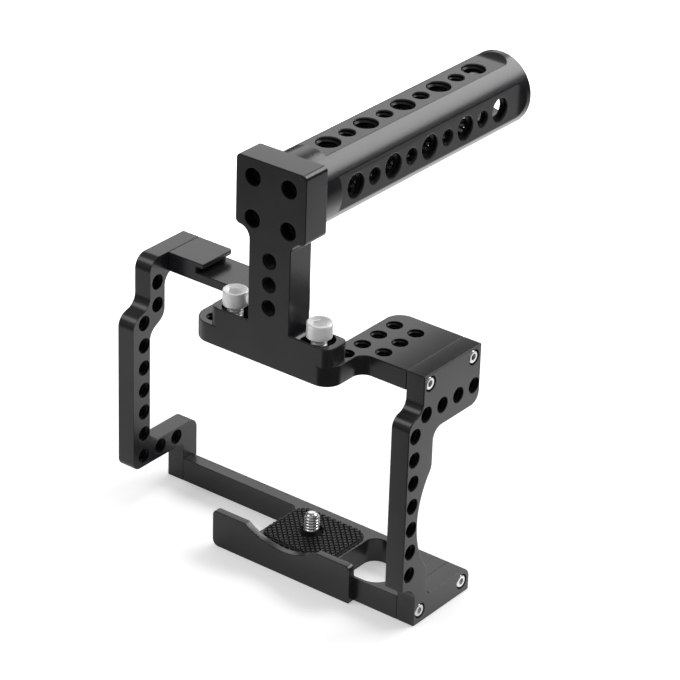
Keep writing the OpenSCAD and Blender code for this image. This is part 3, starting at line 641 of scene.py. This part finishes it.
# The handle screws stand in the second and sixth holes of the row under the handle
for side, step in (("left", 1), ("right", 5)):
    tip = HEAD_SEAT - HANDLE_SHANK_L
    shank = [(0, tip), (TIP_R, tip), (SHANK_ROOT_R, tip + TIP_CHAMFER),
             (SHANK_ROOT_R, HEAD_SEAT - UNDERCUT)]
    head = [(radius, HEAD_SEAT + height) for radius, height in HEAD_PROFILE]
    turned("handle_screw_%s_finished" % side, "handle_screw_" + side, side + "_clamp_screw",
           HANDLE_ROW[0] + PITCH * step, HANDLE_ROW[1], shank + head,
           (tip + TIP_CHAMFER, HEAD_SEAT - THREAD_CLEAR), NICKEL)

turned("camera_screw_finished", "camera_screw", "captive_screw", ORIGIN.x, ORIGIN.y,
       CAMERA_SCREW_PROFILE, CAMERA_SCREW_THREAD, STAINLESS)

# Knurled pad

PAD_LOW = (70.6, 1.0)
PAD_HIGH = (105.6, 29.1)
PAD_R = 6
PAD_FLOOR = 10.0
PAD_GROOVE = 11.1
PAD_TOP = 12.0
PAD_HOLE_R = 5.0
PAD_EDGE = 0.15
PAD_ARC_STEPS = 8
PAD_SKIN = 0.02
PAD_WELD = 1e-7
HOLE_MARGIN = 0.05
FAR = 100
KNURL_PITCH = 1.95
KNURL_FOOT = 0.9
KNURL_TOP = 0.55
KNURL_ROWS = 13


def pad_rim(inset=0.0):
    """The pad's outline, anticlockwise, or one inside it."""
    rim = []
    r = PAD_R - inset
    for quarter_turn, (x, y) in enumerate(((PAD_HIGH[0], PAD_HIGH[1]), (PAD_LOW[0], PAD_HIGH[1]),
                                           (PAD_LOW[0], PAD_LOW[1]), (PAD_HIGH[0], PAD_LOW[1]))):
        centre = Vector((x - math.copysign(PAD_R, x - ORIGIN.x), y - math.copysign(PAD_R, y - ORIGIN.y)))
        for i in range(PAD_ARC_STEPS + 1):
            angle = math.radians(90 * (quarter_turn + i / PAD_ARC_STEPS))
            rim.append(centre + Vector((math.cos(angle), math.sin(angle))) * r)
    return rim


def clipped(shape, rim):
    """The part of a convex shape that lies inside a convex outline."""
    for a, b in zip(rim, rim[1:] + rim[:1]):
        kept = []
        for p, q in zip(shape, shape[1:] + shape[:1]):
            p_in = (b - a).cross(p - a) >= 0
            q_in = (b - a).cross(q - a) >= 0
            if p_in:
                kept.append(p)
            if p_in != q_in:
                kept.append(p.lerp(q, (b - a).cross(p - a) / (b - a).cross(p - q)))
        shape = kept
        if len(shape) < 3:
            return []
    return shape


def beyond_hole(outwards):
    """A large square on the far side of the line that touches the pad's hole in a direction."""
    along = Vector((-outwards.y, outwards.x)) * FAR
    touch = ORIGIN.xy + outwards * (PAD_HOLE_R + HOLE_MARGIN)
    return [touch + along, touch - along, touch - along + outwards * FAR, touch + along + outwards * FAR]


def knurled_pad():
    """Rubber pad with rows of small blunt pyramids, set at 45 degrees to its edges."""
    bm = bmesh.new()
    rim, edge = pad_rim(PAD_EDGE), pad_rim()
    count = len(edge)
    hole = [Vector((ORIGIN.x + PAD_HOLE_R * math.cos(2 * math.pi * i / count),
                    ORIGIN.y + PAD_HOLE_R * math.sin(2 * math.pi * i / count))) for i in range(count)]
    rings = [[bm.verts.new(place(p.x, p.y, z)) for p in shape] for shape, z in
             ((hole, PAD_FLOOR), (edge, PAD_FLOOR), (edge, PAD_GROOVE - PAD_EDGE), (rim, PAD_GROOVE),
              (hole, PAD_GROOVE), (hole, PAD_FLOOR))]
    for low, high in zip(rings, rings[1:]):
        for i in range(count):
            bm.faces.new((low[i], low[(i + 1) % count], high[(i + 1) % count], high[i]))
    bmesh.ops.remove_doubles(bm, verts=bm.verts, dist=PAD_WELD)
    along, across = Vector((1, 1)).normalized(), Vector((-1, 1)).normalized()
    middle = Vector(((PAD_LOW[0] + PAD_HIGH[0]) / 2, (PAD_LOW[1] + PAD_HIGH[1]) / 2))
    for i in range(-KNURL_ROWS, KNURL_ROWS + 1):
        for j in range(-KNURL_ROWS, KNURL_ROWS + 1):
            centre = middle + (along * i + across * j) * KNURL_PITCH
            reach = (centre - ORIGIN.xy).length
            if reach < PAD_HOLE_R:
                continue
            square = [centre + along * a + across * b for a, b in
                      ((-KNURL_FOOT, -KNURL_FOOT), (KNURL_FOOT, -KNURL_FOOT),
                       (KNURL_FOOT, KNURL_FOOT), (-KNURL_FOOT, KNURL_FOOT))]
            foot = clipped(clipped(square, rim), beyond_hole((centre - ORIGIN.xy) / reach))
            if not foot:
                continue
            heart = sum(foot, Vector((0, 0))) / len(foot)
            low = [bm.verts.new(place(p.x, p.y, PAD_GROOVE - PAD_SKIN)) for p in foot]
            share = KNURL_TOP / KNURL_FOOT
            high = [bm.verts.new(place(*heart.lerp(p, share), PAD_TOP)) for p in foot]
            for k in range(len(foot)):
                n = (k + 1) % len(foot)
                bm.faces.new((low[k], low[n], high[n], high[k]))
            bm.faces.new(high)
    bmesh.ops.recalc_face_normals(bm, faces=bm.faces)
    obj = add_object("anti_slip_pad_finished", bm, RUBBER)
    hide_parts("anti_slip_pad")
    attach(obj, "cage")


knurled_pad()

# Camera

SCALE_PX = 680
FOCAL_PX = 3192.3175
AZIMUTH = math.radians(36.873587)
ELEVATION = math.radians(27.815095)
ROLL = math.radians(1.890258)
SENSOR = 36.0
EYE = Vector((0.670129, -0.878327, 0.670224))

camera_data = bpy.data.cameras.new("photograph_view")
camera_data.sensor_width = SENSOR
camera_data.lens = FOCAL_PX * SENSOR / SCALE_PX
camera_data.clip_start = 0.01
camera_data.clip_end = 20
camera = bpy.data.objects.new("photograph_view", camera_data)
right = Vector((math.cos(AZIMUTH), math.sin(AZIMUTH), 0))
upward = Vector((-math.sin(AZIMUTH) * math.sin(ELEVATION), math.cos(AZIMUTH) * math.sin(ELEVATION),
                 math.cos(ELEVATION)))
away = right.cross(upward)
camera_right = right * math.cos(ROLL) + upward * math.sin(ROLL)
camera_up = upward * math.cos(ROLL) - right * math.sin(ROLL)
turn = Matrix((camera_right, camera_up, away)).transposed().to_4x4()
camera.matrix_world = Matrix.Translation(EYE) @ turn
bpy.context.scene.collection.objects.link(camera)
bpy.context.scene.camera = camera

# Studio

GROUND = -0.012
AIM = Vector((0, 0, 0.06))


def softbox(name, direction, distance, width, height, radiance):
    """A soft lamp that a mirror would show at the given brightness, facing the part."""
    data = bpy.data.lights.new(name, "AREA")
    data.shape = "RECTANGLE"
    data.size = width
    data.size_y = height
    data.energy = radiance * math.pi * width * height
    obj = bpy.data.objects.new(name, data)
    obj.location = Vector(direction).normalized() * distance + AIM
    obj.rotation_euler = (AIM - obj.location).to_track_quat("-Z", "Y").to_euler()
    bpy.context.scene.collection.objects.link(obj)


softbox("key_behind", direction=(0.22, 0.72, 0.6), distance=1.9, width=1.6, height=0.8, radiance=5.8)
softbox("behind_left", direction=(-0.53, 0.72, 0.42), distance=1.9, width=1.2, height=0.76, radiance=1.5)
softbox("front_left", direction=(-0.53, -0.47, 0.71), distance=1.8, width=0.9, height=0.7, radiance=2.6)
softbox("overhead", direction=(0.1, 0.05, 1), distance=1.6, width=1.0, height=1.0, radiance=1.2)


def value_range(nodes, links, source, start, end, low, high):
    """A smooth run of values between two places."""
    spread = nodes.new("ShaderNodeMapRange")
    spread.interpolation_type = "SMOOTHSTEP"
    for name, value in (("From Min", start), ("From Max", end), ("To Min", low), ("To Max", high)):
        spread.inputs[name].default_value = value
    links.new(source, spread.inputs["Value"])
    return spread.outputs["Result"]


def math_node(nodes, links, operation, first, second):
    worked = nodes.new("ShaderNodeMath")
    worked.operation = operation
    for socket, value in zip(worked.inputs, (first, second)):
        if isinstance(value, float):
            socket.default_value = value
        else:
            links.new(value, socket)
    return worked.outputs[0]


def product(nodes, links, first, second):
    return math_node(nodes, links, "MULTIPLY", first, second)


def total(nodes, links, first, second):
    return math_node(nodes, links, "ADD", first, second)


def chosen(nodes, links, factor, off, on):
    """One value or the other, by a factor of 0 or 1."""
    mix = nodes.new("ShaderNodeMix")
    links.new(factor, mix.inputs["Factor"])
    for name, value in (("A", off), ("B", on)):
        if isinstance(value, float):
            mix.inputs[name].default_value = value
        else:
            links.new(value, mix.inputs[name])
    return mix.outputs["Result"]


DIFFUSE_LIGHT = 0.35


def studio_world():
    """White where the camera looks; dim between the lamps in reflections, as a studio is."""
    world = bpy.data.worlds.new("studio")
    bpy.context.scene.world = world
    world.use_nodes = True
    nodes, links = world.node_tree.nodes, world.node_tree.links
    path = nodes.new("ShaderNodeLightPath")
    coordinates = nodes.new("ShaderNodeTexCoord")
    split = nodes.new("ShaderNodeSeparateXYZ")
    links.new(coordinates.outputs["Generated"], split.inputs[0])
    horizon = value_range(nodes, links, split.outputs["Y"], start=-0.5, end=0.3, low=0.24, high=0.03)
    upper = value_range(nodes, links, split.outputs["Z"], start=0.1, end=0.8, low=0.0, high=0.24)
    reflected = total(nodes, links, horizon, upper)
    mirrored = math_node(nodes, links, "MAXIMUM",
                         path.outputs["Is Glossy Ray"], path.outputs["Is Transmission Ray"])
    lit = chosen(nodes, links, mirrored, DIFFUSE_LIGHT, reflected)
    seen = chosen(nodes, links, path.outputs["Is Camera Ray"], lit, 1.0)
    background = nodes["Background"]
    background.inputs["Color"].default_value = (1, 1, 1, 1)
    links.new(seen, background.inputs["Strength"])


studio_world()


FLOOR_HALF = 6
BACKWARDS = (0.6, 0.8, 0)
RIGHTWARDS = (0.8, -0.6, 0)
PAINTED_REFLECTION_TONE = 0.85


def painted_reflection_floor(nodes, links, position, far):
    """Painted reflection: a floor made for polished faces alone, its glow brightest behind the part,
    with painted shade that dims it in front, to the right front and far away.
    """
    def beyond(direction, start, end, low, high):
        """A run of values along a direction on the floor."""
        dot = nodes.new("ShaderNodeVectorMath")
        dot.operation = "DOT_PRODUCT"
        dot.inputs[1].default_value = direction
        links.new(position, dot.inputs[0])
        return value_range(nodes, links, dot.outputs["Value"], start, end, low, high)

    # Painted shade in reflections: the floor that polished faces see is dimmed in front of the part, far
    # behind it, to its right front and far away.
    dim = product(nodes, links, beyond(BACKWARDS, start=-0.44, end=-0.2, low=0.4, high=1.0),
                  beyond(BACKWARDS, start=0.18, end=0.4, low=1.0, high=0.45))
    dim = product(nodes, links, dim, beyond(RIGHTWARDS, start=0.04, end=0.14, low=1.0, high=0.06))
    dim = product(nodes, links, dim,
                  value_range(nodes, links, far, start=0.4, end=1.0, low=1.0, high=0.08))
    mirrored = nodes.new("ShaderNodeBsdfDiffuse")
    tone = nodes.new("ShaderNodeCombineColor")
    for socket in tone.inputs[:3]:
        links.new(product(nodes, links, dim, PAINTED_REFLECTION_TONE), socket)
    links.new(tone.outputs[0], mirrored.inputs["Color"])
    # A glow seen only in reflections, brightest behind the part: a painted reflection.
    reflection_glow = nodes.new("ShaderNodeEmission")
    behind = beyond(BACKWARDS, start=-0.1, end=0.12, low=0.0, high=0.6)
    links.new(product(nodes, links, dim, behind), reflection_glow.inputs["Strength"])
    both = nodes.new("ShaderNodeAddShader")
    links.new(mirrored.outputs[0], both.inputs[0])
    links.new(reflection_glow.outputs[0], both.inputs[1])
    return both.outputs[0]


def floor_finish():
    """Matt white, glowing brighter with distance where the camera sees it; polished faces see instead a
    painted reflection floor with painted shade.
    """
    material, nodes, links, shader = new_material("white_floor")
    grain = noise_node(nodes, links, scale=400, detail=2)
    colour = ramp_node(nodes, links, grain.outputs["Fac"], low=(0.88, 0.88, 0.88), high=(0.9, 0.9, 0.9))
    links.new(colour.outputs["Color"], shader.inputs["Base Color"])
    shader.inputs["Roughness"].default_value = 0.9
    shader.inputs["Specular IOR Level"].default_value = 0.1
    path = nodes.new("ShaderNodeLightPath")
    position = nodes.new("ShaderNodeNewGeometry").outputs["Position"]
    outwards = nodes.new("ShaderNodeVectorMath")
    outwards.operation = "LENGTH"
    links.new(position, outwards.inputs[0])
    far = outwards.outputs["Value"]
    glow = value_range(nodes, links, far, start=0.1, end=0.45, low=0.36, high=0.9)
    shader.inputs["Emission Color"].default_value = (1, 1, 1, 1)
    seen = product(nodes, links, path.outputs["Is Camera Ray"], glow)
    links.new(seen, shader.inputs["Emission Strength"])
    # Polished faces see the painted reflection floor in place of this one.
    either = nodes.new("ShaderNodeMixShader")
    links.new(path.outputs["Is Glossy Ray"], either.inputs[0])
    links.new(shader.outputs[0], either.inputs[1])
    links.new(painted_reflection_floor(nodes, links, position, far), either.inputs[2])
    links.new(either.outputs[0], nodes["Material Output"].inputs["Surface"])
    return material


def floor():
    """The ground that the cage stands on, wide enough to fill the view."""
    bm = bmesh.new()
    bmesh.ops.create_grid(bm, x_segments=2, y_segments=2, size=FLOOR_HALF)
    obj = add_object("floor", bm, floor_finish())
    obj.location = (0, 0, GROUND)


floor()
bpy.context.scene.view_settings.view_transform = "Standard"
